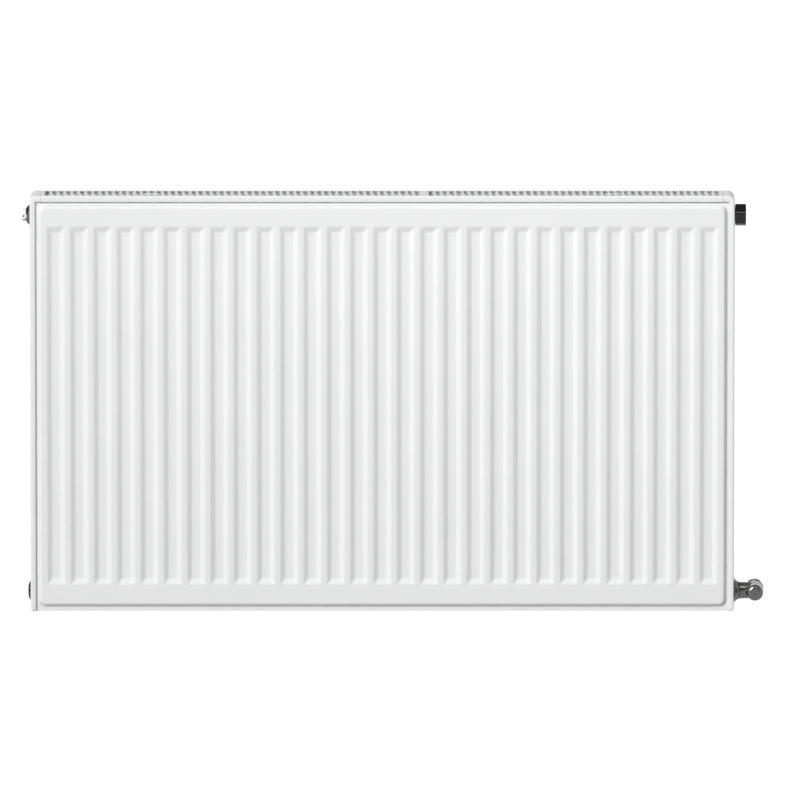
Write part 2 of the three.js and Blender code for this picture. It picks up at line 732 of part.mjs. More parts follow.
// Angle lockshield valve. Its barrel lies along Y. The hexagonal sleeve screwed on its
// rear end faces the wall and takes the pipe.
const VALVE_X = 534;
const VALVE = { rear: -47.3, seat: -61, front: -83, chamber: 8.2, capRadius: 11.8, capFront: -98 };
const SLEEVE = {
  flat: 25, tips: 13, turn: 0.1, rear: -38, front: -50, bore: 7.7, boreEnd: -47, spigot: 9.2,
};
const valveCentre = [VALVE_X, 0, PORT_Z.bottom];
const onValve = (profile, segments) => turned(profile, 'Y', valveCentre, segments);

function addValveUnion(place) {
  addNode('lockshield_tailpiece', tailpiece(place, 6, 7.5, 11), FINISH.nickel);
  addNode('lockshield_tailpiece_seal', stemSeal(place), FINISH.rubber);
  const taper = place.turned([
    [2.7, 0], [2.7, 17.2], [3.4, 17.2], [5.2, 14.6], [7.2, 13.2], [9.6, 12.6], [9.6, 0],
  ]);
  const nut = place.hex(32, 2.7, 9.6, 0.5)
    .intersect(taper)
    .subtract(place.rod(NECK_RADIUS + 0.4, 0, OUTER_END))
    .subtract(place.rod(11.5, 5.6, OUTER_END));
  addNode('lockshield_union_nut', nut, FINISH.nickel);
}

function valveBody(place) {
  const { rear, seat, front, chamber } = VALVE;
  const shoulder = SLEEVE.front - GAP;
  const neck = place.turned([
    [7.8, 0], [7.8, 11.1], [9.9, 11.1], [9.9, 11.6], [10.3, 12], [16, 11.8], [32, 11.6], [32, 0],
  ]);
  const { capRadius } = VALVE;
  const beforeCap = block(
    [VALVE_X - capRadius - 2 * GAP, VALVE_X + capRadius],
    [front, -77.8],
    [PORT_Z.bottom - capRadius, PORT_Z.bottom + capRadius],
  );
  return onValve([
    [rear, 0], [rear, SLEEVE.spigot], [shoulder, SLEEVE.spigot], [shoulder, 11.6],
    [-56, 12], [-64, 12.4], [-72, 12], [-77, 10.6], [-77.8, 9.7],
    [front, 9.7], [front, 0],
  ], SMOOTHER)
    .add(neck.subtract(beforeCap))
    .subtract(onValve([[rear + 1, 0], [rear + 1, 5.5], [seat - 1, 5.5], [seat - 1, 0]]))
    .subtract(onValve([[seat, 0], [seat, chamber], [front - 1, chamber], [front - 1, 0]]))
    .subtract(place.rod(6, 0, 32));
}

function pipeSleeve() {
  const { flat, tips, turn, rear, front, bore, boreEnd, spigot } = SLEEVE;
  const chamfer = 1.2;
  const round = onValve([
    [rear, 0], [rear, tips - chamfer], [rear - chamfer, tips], [front + chamfer, tips],
    [front, tips - chamfer], [front, 0],
  ], SMOOTHER);
  const fit = spigot + GAP;
  return extruded(hexagon(flat, turn, [VALVE_X, PORT_Z.bottom]), 'Y', front, rear)
    .intersect(round)
    .subtract(onValve([[rear + 1, 0], [rear + 1, bore], [front, bore], [front, 0]], SMOOTHER))
    .subtract(onValve([[boreEnd, 0], [boreEnd, fit], [front - 1, fit], [front - 1, 0]], SMOOTHER));
}

function addValve() {
  const place = port(SIDES.right, PORT_Z.bottom);
  addValveUnion(place);
  addNode('lockshield_body', valveBody(place), FINISH.nickel);
  addNode('lockshield_pipe_sleeve', pipeSleeve(), FINISH.nickel);

  const { seat, front, chamber } = VALVE;
  const bonnetInner = -77;
  const hexHead = extruded(hexagon(17, 0, [VALVE_X, PORT_Z.bottom]), 'Y', -87, front - GAP);
  const bonnet = onValve([
    [bonnetInner, 0], [bonnetInner, chamber - GAP], [front - 1, chamber - GAP], [front - 1, 5],
    [-89, 5], [-89, 0],
  ]).add(hexHead)
    .subtract(onValve([[bonnetInner + 1, 0], [bonnetInner + 1, 4.3], [-82, 4.3], [-82, 0]]))
    .subtract(onValve([[-81, 0], [-81, 2.9], [-90, 2.9], [-90, 0]]));
  addNode('lockshield_bonnet', bonnet, FINISH.brass);

  const spindle = onValve([
    [-67.6, 0], [-67.6, 2.5], [-77.3, 2.5], [-77.3, 4], [-79.2, 4], [-79.2, 2.5], [-91.5, 2.5],
    [-91.5, 0],
  ]);
  const slotX = [VALVE_X - 3, VALVE_X + 3];
  const slotZ = [PORT_Z.bottom - 0.5, PORT_Z.bottom + 0.5];
  const screwdriverSlot = block(slotX, [-92, -90], slotZ);
  addNode('lockshield_spindle', spindle.subtract(screwdriverSlot), FINISH.brass);
  addNode('spindle_seal', ring(2.8, 4, -81.6, -79.6, 'Y', valveCentre), FINISH.rubber);

  const closed = seat - GAP;
  const disc = onValve([
    [closed, 0], [closed, 6], [closed - 1, 7.4], [closed - 3.4, 7.4], [closed - 3.4, 4.6], [-72, 4.6],
    [-72, 2.8], [-62.8, 2.8], [-62.8, 0],
  ]);
  addNode('lockshield_disc', disc, FINISH.brass);

  const { capRadius, capFront } = VALVE;
  const rimY = -78.2;
  const domeSteps = 4;
  const dome = Array.from({ length: domeSteps + 1 }, (_, i) => {
    const angle = (Math.PI / 2) * (i / domeSteps);
    return [-92 + (capFront + 92) * Math.sin(angle), capRadius - 5 + 5 * Math.cos(angle)];
  });
  const cap = onValve([
    [rimY, 10.1], [rimY, capRadius - 0.6], [rimY - 0.6, capRadius], ...dome, [capFront, 0],
    [-95, 0], [-95, 7.5], [-92.5, 10.1], [rimY, 10.1],
  ], SMOOTHER);
  addNode('lockshield_cap', cap, FINISH.nickel);
}

addPanels();
addConvector();
addTees();
addCovers();
addGrille();
addGrilleClips();
addMounting();
addVent();
addBlankingPlug();
addUnion();
addValve();

export default radiator;
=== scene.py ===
"""Looks for a wall-hung steel panel radiator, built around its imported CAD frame.

Mesh builders work in millimetres in the frame's own axes (+Z up, front facing -Y, wall at
Y = 0) and hand over metres. Sizes come from the CAD nodes' boxes and from the named values
below.
"""

import json
import math

import bmesh
import bpy
import numpy as np
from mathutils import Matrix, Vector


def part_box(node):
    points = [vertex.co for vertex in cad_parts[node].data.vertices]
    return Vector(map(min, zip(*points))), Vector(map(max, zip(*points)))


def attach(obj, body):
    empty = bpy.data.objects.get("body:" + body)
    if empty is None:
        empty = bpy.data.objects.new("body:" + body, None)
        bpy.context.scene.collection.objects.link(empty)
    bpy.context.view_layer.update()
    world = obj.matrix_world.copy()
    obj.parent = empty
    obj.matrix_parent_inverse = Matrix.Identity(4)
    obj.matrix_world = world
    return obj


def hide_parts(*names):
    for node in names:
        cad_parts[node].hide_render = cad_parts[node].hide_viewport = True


MM = 0.001
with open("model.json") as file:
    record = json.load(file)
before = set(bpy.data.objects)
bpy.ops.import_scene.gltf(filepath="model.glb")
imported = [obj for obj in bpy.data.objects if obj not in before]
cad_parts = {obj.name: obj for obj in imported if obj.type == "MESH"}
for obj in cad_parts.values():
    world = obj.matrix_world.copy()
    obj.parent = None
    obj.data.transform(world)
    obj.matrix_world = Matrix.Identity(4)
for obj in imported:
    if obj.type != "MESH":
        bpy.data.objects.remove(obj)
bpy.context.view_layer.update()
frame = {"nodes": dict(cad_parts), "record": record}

RECORD = frame["record"]
BODY_OF = {node: body for body, nodes in RECORD["behaviour"]["bodies"].items() for node in nodes}
SLOT_OF = {row["node"]: row["material_slot"] for row in RECORD["subparts"]}


def span(node, axis):
    """Lowest and highest place of a CAD node along an axis, in mm."""
    low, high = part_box(node)
    return low[axis] / MM, high[axis] / MM


# ---------- places taken from the frame, in mm ----------
X, Y, Z = 0, 1, 2
FRONT = span("front_panel_outer_sheet", Y)[0]
REAR = span("rear_panel_outer_sheet", Y)[1]
MIDDLE = (FRONT + REAR) / 2
HALF_WIDTH = span("front_panel_outer_sheet", X)[1]
PANEL_TOP = span("front_panel_outer_sheet", Z)[1]
COVER_TOP = span("side_cover_left", Z)[1]
BOSS_RISE = 0.6
COVER_X = span("side_cover_right", X)[1] - BOSS_RISE
GRILLE_X = span("top_grille", X)[1]
LIP_FRONT, LIP_REAR = span("top_grille", Y)
LIP_BOTTOM = span("top_grille", Z)[0]
PORT_Z = {level: sum(span(f"port_tee_{level}_left", Z)) / 2 for level in ("bottom", "top")}
TEE_FACE = span("port_tee_top_right", X)[1]
VALVE_X = sum(span("lockshield_cap", X)) / 2
TEE_RADIUS = 14.5
TEE_CENTRE = span("port_tee_top_right", X)[0] + TEE_RADIUS
WATER_RADIUS = 9.0

# ---------- pressed detail, in mm ----------
# The slopes start and end a little differently from the frame's straight ones, inside its box.
SHEET = 1.2
RELIEF = 5.3
RIM_SIDE = 7.2
RIM_END = 7.0
EDGE_SLOPE = 5.5
EDGE_CORNER = 11.0
EDGE_CURVE = 2.0
PITCH = 100 / 3
RECESS_COUNT = 29
RECESS_HALF = 12.4
RECESS_SLOPE = 6.6
RECESS_END_SLOPE = 7.8
RECESS_Z = (39.5, 555.4)
OUTER_RECESS = 3.2
INNER_RECESS = 2 * RELIEF - OUTER_RECESS  # reaches across to meet the outer sheet's recess
COVER_SHEET = 1.0
COVER_LIP = 7.5
COVER_CORNER = 9.0
COVER_FOOT = 4.0
HEM = 2.7
BOSS_FOOT = 21.5
BOSS_SHOULDER = 16.8
BOSS_HOLE = 13.2


# ---------- mesh helpers ----------
def rounded_step(t, soft):
    """A ramp from 0 to 1 with both of its corners rounded over +-soft."""
    def bend(v):
        return np.where(v <= -soft, 0.0, np.where(v >= soft, v, (v + soft) ** 2 / (4 * soft)))
    return bend(t) - bend(t - 1)


def soft_min(a, b, soft):
    """The lower of two fields, with the crease between them rounded."""
    gap = np.clip(b - a, -soft, soft)
    blend = (gap + soft) ** 2 / (4 * soft)
    return np.where(b - a <= -soft, b, np.where(b - a >= soft, a, b - blend))


class Shape:
    """Collects points and faces in mm, and welds them into one object."""

    def __init__(self):
        self.points = []
        self.faces = []

    def grid(self, rows, closed=False):
        """Quads over rows of points. A closed grid also joins each row's end to its start."""
        rows = np.asarray(rows, float)
        count, width = rows.shape[:2]
        first = len(self.points)
        self.points.extend(rows.reshape(-1, 3))
        for i in range(count - 1):
            for j in range(width if closed else width - 1):
                k = (j + 1) % width
                a = first + i * width
                self.faces.append((a + j, a + k, a + width + k, a + width + j))

    def build(self, name):
        mesh = bpy.data.meshes.new(name)
        mesh.from_pydata([tuple(p * MM) for p in np.asarray(self.points)], [], self.faces)
        work = bmesh.new()
        work.from_mesh(mesh)
        bmesh.ops.remove_doubles(work, verts=work.verts, dist=0.002 * MM)
        bmesh.ops.dissolve_degenerate(work, edges=work.edges, dist=0.001 * MM)
        bmesh.ops.recalc_face_normals(work, faces=work.faces)
        work.to_mesh(mesh)
        work.free()
        piece = bpy.data.objects.new(name, mesh)
        bpy.context.scene.collection.objects.link(piece)
        return piece


def apply_modifiers(piece):
    """Replaces the mesh by what its modifiers make of it."""
    depsgraph = bpy.context.evaluated_depsgraph_get()
    made = bpy.data.meshes.new_from_object(piece.evaluated_get(depsgraph))
    piece.modifiers.clear()
    piece.data = made


def shade(piece, angle=32):
    piece.data.shade_smooth()
    piece.data.set_sharp_from_angle(angle=math.radians(angle))


def bevel(piece, width, segments=2, angle=35):
    modifier = piece.modifiers.new("edges", "BEVEL")
    modifier.width = width * MM
    modifier.segments = segments
    modifier.limit_method = "ANGLE"
    modifier.angle_limit = math.radians(angle)
    modifier.harden_normals = False


def thicken(piece, thickness):
    modifier = piece.modifiers.new("sheet", "SOLIDIFY")
    modifier.thickness = thickness * MM
    modifier.offset = -1
    modifier.use_even_offset = True


def cut(piece, cutter):
    modifier = piece.modifiers.new("cut", "BOOLEAN")
    modifier.operation = "DIFFERENCE"
    modifier.solver = "EXACT"
    modifier.object = cutter
    apply_modifiers(piece)
    bpy.data.objects.remove(cutter)


def join(piece, other):
    modifier = piece.modifiers.new("join", "BOOLEAN")
    modifier.operation = "UNION"
    modifier.solver = "EXACT"
    modifier.object = other
    apply_modifiers(piece)
    bpy.data.objects.remove(other)


def stand_for(piece, node):
    """The piece rides and is coloured as the CAD node that it replaces, and that node is hidden."""
    piece.data.materials.clear()
    piece.data.materials.append(MATERIALS[SLOT_OF[node]])
    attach(piece, BODY_OF[node])
    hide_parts(node)


# ---------- turned shapes ----------
def fillet(profile, radius=0.3, steps=3):
    """Rounds the inner corners of a profile of (distance, radius) points."""
    points = [np.array(p, float) for p in profile]
    result = [points[0]]
    for before, here, after in zip(points, points[1:], points[2:]):
        back, on = before - here, after - here
        reach = min(radius, np.linalg.norm(back) * 0.45, np.linalg.norm(on) * 0.45)
        start = here + back / np.linalg.norm(back) * reach
        end = here + on / np.linalg.norm(on) * reach
        for i in range(steps + 1):
            t = i / steps
            result.append((1 - t) ** 2 * start + 2 * t * (1 - t) * here + t ** 2 * end)
    return result + [points[-1]]


def subdivided(profile, step):
    """Adds points so that no stretch of a profile is longer than step."""
    result = [np.array(profile[0], float)]
    for here, after in zip(profile, profile[1:]):
        here, after = np.array(here, float), np.array(after, float)
        count = max(1, math.ceil(np.linalg.norm(after - here) / step))
        result += [here + (after - here) * i / count for i in range(1, count + 1)]
    return result


def revolve(name, profile, about, centre, segments=64, limit=None, turn=0.0):
    """Turns a closed profile. limit(angle, distance, radius) may lower a point's radius."""
    shape = Shape()
    angles = turn + np.arange(segments) * 2 * math.pi / segments
    rows = []
    for distance, radius in profile:
        radii = np.full(segments, radius)
        if limit is not None and radius > 0:
            radii = limit(angles, distance, radius)
        u, v = radii * np.cos(angles), radii * np.sin(angles)
        along = np.full(segments, distance)
        row = (along, u, v) if about == X else (u, along, v)
        rows.append(np.stack(row, axis=1) + np.array(centre))
    shape.grid(rows, closed=True)
    return shape.build(name)


def hexagon(across_flats, corner=0.35):
    """Limits a turned shape to a hexagon with slightly rounded corners."""
    def limit(angles, _distance, radius):
        sector = np.mod(angles - angles[0], math.pi / 3) - math.pi / 6
        flat = across_flats / 2 / np.cos(sector)
        tip = across_flats / math.sqrt(3) - corner
        return np.minimum(radius, soft_min(flat, np.full_like(flat, tip), 0.15))
    return limit


def threaded(start, end, pitch, depth):
    """A helical groove, on a stretch of a turned shape."""
    def limit(angles, distance, radius):
        if not start < distance < end:
            return np.full_like(angles, radius)
        turn = np.mod(distance / pitch - angles / (2 * math.pi), 1)
        return radius - depth * (1 - np.abs(2 * turn - 1))
    return limit


# ---------- materials ----------
def new_material(name, **values):
    """A material whose shader has the given sockets set."""
    material = bpy.data.materials.new(name)
    material.use_nodes = True
    shader = material.node_tree.nodes["Principled BSDF"]
    for socket, value in values.items():
        shader.inputs[socket.replace("_", " ")].default_value = value
    return material, shader


class Graph:
    """Short names for adding and joining the nodes of a material or a world."""

    def __init__(self, owner):
        self.tree = owner.node_tree

    def add(self, kind, settings=(), **inputs):
        node = self.tree.nodes.new(kind)
        for key, value in dict(settings).items():
            setattr(node, key, value)
        for key, value in inputs.items():
            socket = node.inputs[key.replace("_", " ")]
            if isinstance(value, bpy.types.NodeSocket):
                self.tree.links.new(value, socket)
            else:
                socket.default_value = value
        return node

    def place(self):
        return self.add("ShaderNodeTexCoord").outputs["Object"]

    def noise(self, scale, detail=3.0, stretch=None):
        vector = self.place()
        if stretch is not None:
            vector = self.add("ShaderNodeMapping", Vector=vector, Scale=stretch).outputs["Vector"]
        node = self.add("ShaderNodeTexNoise", Vector=vector, Scale=scale, Detail=detail)
        return node.outputs["Fac"]

    def between(self, factor, low, high):
        node = self.add("ShaderNodeMapRange", Value=factor, To_Min=low, To_Max=high)
        return node.outputs["Result"]

    def smooth(self, value, limits, levels):
        """A smooth change between two levels, as a value passes between two limits."""
        node = self.add(
            "ShaderNodeMapRange", {"interpolation_type": "SMOOTHSTEP"}, Value=value,
            From_Min=limits[0], From_Max=limits[1], To_Min=levels[0], To_Max=levels[1],
        )
        return node.outputs["Result"]

    def tint(self, factor, dark, light):
        node = self.add("ShaderNodeMix", {"data_type": "RGBA"})
        self.tree.links.new(factor, node.inputs["Factor"])
        colours = [s for s in node.inputs if s.type == "RGBA"]
        colours[0].default_value = (*dark, 1)
        colours[1].default_value = (*light, 1)
        return [s for s in node.outputs if s.type == "RGBA"][0]

    def bump(self, height, strength, distance, normal=None):
        node = self.add("ShaderNodeBump", Height=height, Strength=strength, Distance=distance)
        if normal is not None:
            self.tree.links.new(normal, node.inputs["Normal"])
        return node.outputs["Normal"]

    def join(self, output, socket):
        self.tree.links.new(output, socket)


def white_paint():
    """Baked powder coat: a faint orange peel, a touch of cloudiness in the gloss."""
    material, shader = new_material("white_powder_coat", Roughness=0.36, IOR=1.5)
    graph = Graph(material)
    cloud = graph.noise(14, 2)
    peel = graph.noise(620, 2)
    grit = graph.noise(2600, 2)
    colour = graph.tint(cloud, (0.735, 0.742, 0.740), (0.765, 0.770, 0.768))
    graph.join(colour, shader.inputs["Base Color"])
    graph.join(graph.between(cloud, 0.32, 0.42), shader.inputs["Roughness"])
    soft = graph.bump(peel, 0.10, 0.00025)
    graph.join(graph.bump(grit, 0.05, 0.00005, soft), shader.inputs["Normal"])
    return material


def plated(name, dark, light, rough):
    """Nickel plate over turned brass: fine turning marks and small stains."""
    material, shader = new_material(name, Metallic=1.0)
    graph = Graph(material)
    stain = graph.noise(160, 4)
    marks = graph.noise(900, 2, (6.0, 0.6, 0.6))
    pits = graph.noise(3800, 2)
    graph.join(graph.tint(stain, dark, light), shader.inputs["Base Color"])
    graph.join(graph.between(stain, *rough), shader.inputs["Roughness"])
    lines = graph.bump(marks, 0.12, 0.00005)
    graph.join(graph.bump(pits, 0.06, 0.00003, lines), shader.inputs["Normal"])
    return material


def moulded(name, dark, light, roughness, grain):
    """Moulded plastic or rubber with a fine eroded grain."""
    material, shader = new_material(name, Roughness=roughness, IOR=1.46)
    graph = Graph(material)
    blotch = graph.noise(90, 3)
    texture = graph.noise(3000, 2)
    graph.join(graph.tint(blotch, dark, light), shader.inputs["Base Color"])
    rough = graph.between(texture, roughness - 0.06, roughness + 0.08)
    graph.join(rough, shader.inputs["Roughness"])
    graph.join(graph.bump(texture, grain, 0.00008), shader.inputs["Normal"])
    return material


MATERIALS = {
    "white_paint": white_paint(),
    "nickel": plated(
        "nickel_plate", (0.24, 0.24, 0.238), (0.42, 0.418, 0.41), (0.16, 0.30),
    ),
    # dark_nickel is the same nickel plate with its colour darkened: painted shade standing in for
    # the dark surroundings that the nut mirrors.
    "dark_nickel": plated(
        "nickel_plate_painted_dark", (0.055, 0.055, 0.057), (0.11, 0.11, 0.113), (0.10, 0.20),
    ),
    "brass": plated(
        "machined_brass", (0.50, 0.36, 0.15), (0.66, 0.50, 0.24), (0.20, 0.34),
    ),
    "zinc": plated(
        "bright_zinc", (0.46, 0.48, 0.50), (0.62, 0.63, 0.64), (0.28, 0.45),
    ),
    "white_plastic": moulded(
        "white_plastic", (0.80, 0.80, 0.785), (0.84, 0.84, 0.83), 0.38, 0.10,
    ),
    "grey_plastic": moulded(
        "grey_plastic", (0.11, 0.115, 0.12), (0.15, 0.155, 0.16), 0.55, 0.25,
    ),
    "rubber": moulded(
        "black_rubber", (0.012, 0.012, 0.012), (0.024, 0.024, 0.024), 0.72, 0.30,
    ),
}


# ---------- water panels ----------
def recess_lines():
    """Grid lines along X: close together where the pressing bends."""
    bends = [5.0, 5.7, 6.4, 7.2, 8.2, 9.4, 10.6, 11.6, 12.4, 13.1, 13.8]
    lines = set(edge_lines(-HALF_WIDTH, HALF_WIDTH, RIM_SIDE))
    for i in range(RECESS_COUNT):
        centre = (i - (RECESS_COUNT - 1) / 2) * PITCH
        lines.add(round(centre, 4))
        for side in (-1, 1):
            lines.update(round(centre + side * offset, 4) for offset in bends)
    return sorted(lines)


def edge_lines(low, high, rim):
    """Grid lines near the two ends of a stretch, where the rim turns into the slope."""
    slope = [-0.3, 0, 0.3, 0.9, 1.7, 2.6, 3.6, 4.5, 5.2, 6.4, 8.2, 10.5]
    offsets = [0, rim / 2, *(rim + step for step in slope)]
    return [round(low + d, 4) for d in offsets] + [round(high - d, 4) for d in offsets]


def height_lines():
    """Grid lines along Z."""
    bends = [-2.6, -1.4, -0.3, 0.8, 1.9, 3.2, 4.6, 5.9, 7.0, 8.0, 9.2, 10.4]
    lines = set(edge_lines(0, PANEL_TOP, RIM_END))
    lines.update(round(RECESS_Z[0] + d, 4) for d in bends)
    lines.update(round(RECESS_Z[1] - d, 4) for d in bends)
    lines.update(range(100, 501, 80))
    return sorted(lines)


def pressed_height(x, z, recess_depth):
    """How far the sheet stands above its rim. Its edge rises steeply, then bends over."""
    half_x, half_z = HALF_WIDTH, PANEL_TOP / 2
    qx = np.abs(x) - (half_x - EDGE_CORNER - RIM_SIDE)
    qz = np.abs(z - half_z) - (half_z - EDGE_CORNER - RIM_END)
    outside = np.hypot(np.maximum(qx, 0), np.maximum(qz, 0)) + np.minimum(np.maximum(qx, qz), 0)
    face = 1 - (1 - rounded_step((EDGE_CORNER - outside) / EDGE_SLOPE, 0.06)) ** EDGE_CURVE
    index = np.clip(np.round(x / PITCH), -(RECESS_COUNT // 2), RECESS_COUNT // 2)
    across = (RECESS_HALF - np.abs(x - index * PITCH)) / RECESS_SLOPE
    along = np.minimum(z - RECESS_Z[0], RECESS_Z[1] - z) / RECESS_END_SLOPE
    recess = rounded_step(soft_min(across, along, 0.3), 0.24)
    return RELIEF * face - recess_depth * recess


def pressed_sheet(node, out, recess_depth):
    """A pressed sheet that bulges along out, +1 or -1 along Y, from its rim."""
    low, high = span(node, Y)
    rim_face = low + RELIEF if out < 0 else high - RELIEF
    x, z = np.meshgrid(recess_lines(), height_lines())
    height = pressed_height(x, z, recess_depth)
    outer = np.stack([x, rim_face + out * height, z], axis=2)
    inner = outer - np.array([0, out * SHEET, 0])
    shape = Shape()
    shape.grid(outer)
    shape.grid(inner)
    for side in (0, -1):
        shape.grid([outer[side], inner[side]])
        shape.grid([outer[:, side], inner[:, side]])
    return shape.build(f"{node}_fine")


def water_panels():
    for node, out in (
        ("front_panel_outer_sheet", -1),
        ("front_panel_inner_sheet", 1),
        ("rear_panel_inner_sheet", -1),
        ("rear_panel_outer_sheet", 1),
    ):
        is_inner = "inner" in node
        piece = pressed_sheet(node, out, INNER_RECESS if is_inner else OUTER_RECESS)
        if is_inner:
            for side in (-1, 1):
                for level in PORT_Z.values():
                    cut(piece, revolve(
                        "hole",
                        [(-110, 0), (-110, WATER_RADIUS), (-20, WATER_RADIUS), (-20, 0)],
                        Y, (side * TEE_CENTRE, 0, level), 48,
                    ))
        shade(piece)
        stand_for(piece, node)


# ---------- convector ----------
FIN_SHEET = 0.6
FIN_BASE = 9.0
FIN_SPREAD = 21.3
FIN_BEND = 2.2
CHANNELS_PER_STRIP = 4


def convector_strip(node):
    """A corrugated sheet with rounded bends."""
    low, high = span(node, Y)
    base_y, tip_y = high - FIN_SHEET / 2, low + FIN_SHEET / 2
    middle = sum(span(node, X)) / 2
    line = []
    for i in range(CHANNELS_PER_STRIP):
        x = middle + (i - (CHANNELS_PER_STRIP - 1) / 2) * PITCH
        line += [
            (x - FIN_SPREAD / 2, tip_y),
            (x - FIN_BASE / 2, base_y),
            (x + FIN_BASE / 2, base_y),
            (x + FIN_SPREAD / 2, tip_y),
        ]
    path = np.array(fillet(line, FIN_BEND, 4))
    tangent = np.gradient(path, axis=0)
    tangent /= np.linalg.norm(tangent, axis=1, keepdims=True)
    offset = np.stack([-tangent[:, 1], tangent[:, 0]], axis=1) * FIN_SHEET / 2
    faces = [path + offset, path - offset]
    outline = np.concatenate([faces[0], faces[1][::-1]])
    bottom, top = span(node, Z)
    levels = [bottom, (bottom + top) / 2, top]
    shape = Shape()
    shape.grid([np.column_stack([outline, np.full(len(outline), z)]) for z in levels], closed=True)
    for z in (bottom, top):
        shape.grid([np.column_stack([face, np.full(len(path), z)]) for face in faces])
    piece = shape.build(f"{node}_fine")
    shade(piece, 40)
    stand_for(piece, node)


def convector():
    for node in frame["nodes"]:
        if node.startswith("convector_strip"):
            convector_strip(node)


# ---------- corner tees ----------
def tee(node):
    side = -1 if span(node, X)[0] < 0 else 1
    level = sum(span(node, Z)) / 2
    ends = span(node, Y)
    radius = TEE_RADIUS
    barrel = revolve(
        f"{node}_fine",
        fillet([(ends[0], 0), (ends[0], radius), (ends[1], radius), (ends[1], 0)], 0.6),
        Y, (side * TEE_CENTRE, 0, level),
    )
    centre = (0, MIDDLE, level)
    join(barrel, revolve("socket", fillet([
        (side * TEE_CENTRE, 0), (side * TEE_CENTRE, radius - 0.4),
        (side * TEE_FACE, radius - 0.4), (side * TEE_FACE, 0),
    ], 0.5), X, centre))
    front, rear = ends[0] - 1, ends[1] + 1
    cut(barrel, revolve(
        "water", [(front, 0), (front, WATER_RADIUS), (rear, WATER_RADIUS), (rear, 0)],
        Y, (side * TEE_CENTRE, 0, level), 48,
    ))
    thread_radius, seat_radius = 10.8, 12.3
    thread_end, seat, outside = TEE_FACE - 15, TEE_FACE - 2.3, TEE_FACE + 1
    port = [
        (TEE_CENTRE, 0), (TEE_CENTRE, WATER_RADIUS), (thread_end, WATER_RADIUS),
        (thread_end, thread_radius), (seat, thread_radius), (seat, seat_radius),
        (outside, seat_radius), (outside, 0),
    ]
    cut(barrel, revolve("port", [(side * x, radius) for x, radius in port], X, centre, 48))
    shade(barrel)
    stand_for(barrel, node)


# ---------- side covers ----------
BOSS_CELLS = 16  # grid cells along each side of the square that holds a boss


def quarter(centre_x, centre_z, radius, start, end, count):
    """Rows round a bend: (distance from the middle, height, inward direction)."""
    rows = []
    for angle in np.radians(np.linspace(start, end, count)):
        across, up = math.cos(angle), math.sin(angle)
        rows.append((centre_x + radius * across, centre_z + radius * up, -across, -up))
    return rows


def cover_path():
    """The cover's outline seen from the front, and the stretches that hold the bosses."""
    reach = BOSS_FOOT + 0.5
    stretches = [
        (max(level - reach, COVER_FOOT), min(level + reach, COVER_TOP - COVER_CORNER))
        for level in sorted(PORT_Z.values())
    ]
    low, high = stretches
    straight = list(np.linspace(*low, BOSS_CELLS + 1))[1:]
    straight += list(np.linspace(low[1], high[0], 6))[1:-1]
    straight += list(np.linspace(*high, BOSS_CELLS + 1))
    rows = quarter(COVER_X - COVER_FOOT, COVER_FOOT, COVER_FOOT, -90, 0, 5)
    rows += [(COVER_X, z, -1.0, 0.0) for z in straight]
    rows += quarter(COVER_X - COVER_CORNER, COVER_TOP - COVER_CORNER, COVER_CORNER, 0, 90, 11)[1:]
    tab = np.linspace(COVER_X - COVER_CORNER, GRILLE_X + 0.3, 4)[1:]
    rows += [(x, COVER_TOP, 0.0, -1.0) for x in tab]
    return rows, stretches


def boss_rise(radius):
    """Height of the trumpet-shaped boss pressed up round a connection."""
    t = np.clip((BOSS_FOOT - radius) / (BOSS_FOOT - BOSS_SHOULDER), 0, 1)
    return BOSS_RISE * (t ** 2 * (3 - 2 * t) * 0.35 + t ** 2.2 * 0.65)


def boss_rings(side, rim, level):
    """Rings of points from a square of the cover's grid in to the boss's hole."""
    angles = np.arctan2(rim[:, 2] - level, rim[:, 1] - MIDDLE)
    slope = np.linspace(BOSS_FOOT, BOSS_SHOULDER, 12)
    top = np.linspace(BOSS_SHOULDER, BOSS_HOLE, 4)[1:]
    rings = [rim]
    for radius in np.concatenate([slope, top]):
        rings.append(np.stack([
            np.full(len(rim), side * (COVER_X + boss_rise(radius))),
            MIDDLE + radius * np.cos(angles),
            level + radius * np.sin(angles),
        ], axis=1))
    return rings


def cover_lips(shape, side, rows):
    """The front and rear lips, with a hem turned in towards the panel's rim."""
    bend = 1.6
    hem_bend = 0.7
    free_x, free_z = COVER_X - COVER_LIP, LIP_BOTTOM
    for edge, inward in ((LIP_FRONT, 1), (LIP_REAR, -1)):
        flat, fold = [], []
        for x, z, nx, nz in rows:
            near = (x + nx * bend, z + nz * bend)
            far = (min(near[0], free_x + hem_bend), min(near[1], free_z + hem_bend))
            hem = (min(near[0], free_x), min(near[1], free_z))
            flat.append([
                (side * hem[0], edge + inward * HEM, hem[1]),
                (side * hem[0], edge + inward * hem_bend, hem[1]),
                (side * (hem[0] * 0.7 + far[0] * 0.3), edge + inward * hem_bend * 0.3,
                 hem[1] * 0.7 + far[1] * 0.3),
                (side * far[0], edge, far[1]),
                (side * near[0], edge, near[1]),
            ])
            fold.append([
                (
                    side * (x + nx * bend * (1 - math.sin(a))),
                    edge + inward * bend * (1 - math.cos(a)),
                    z + nz * bend * (1 - math.sin(a)),
                )
                for a in np.linspace(0, math.pi / 2, 6)
            ])
        shape.grid(flat)
        shape.grid(fold)
    return bend


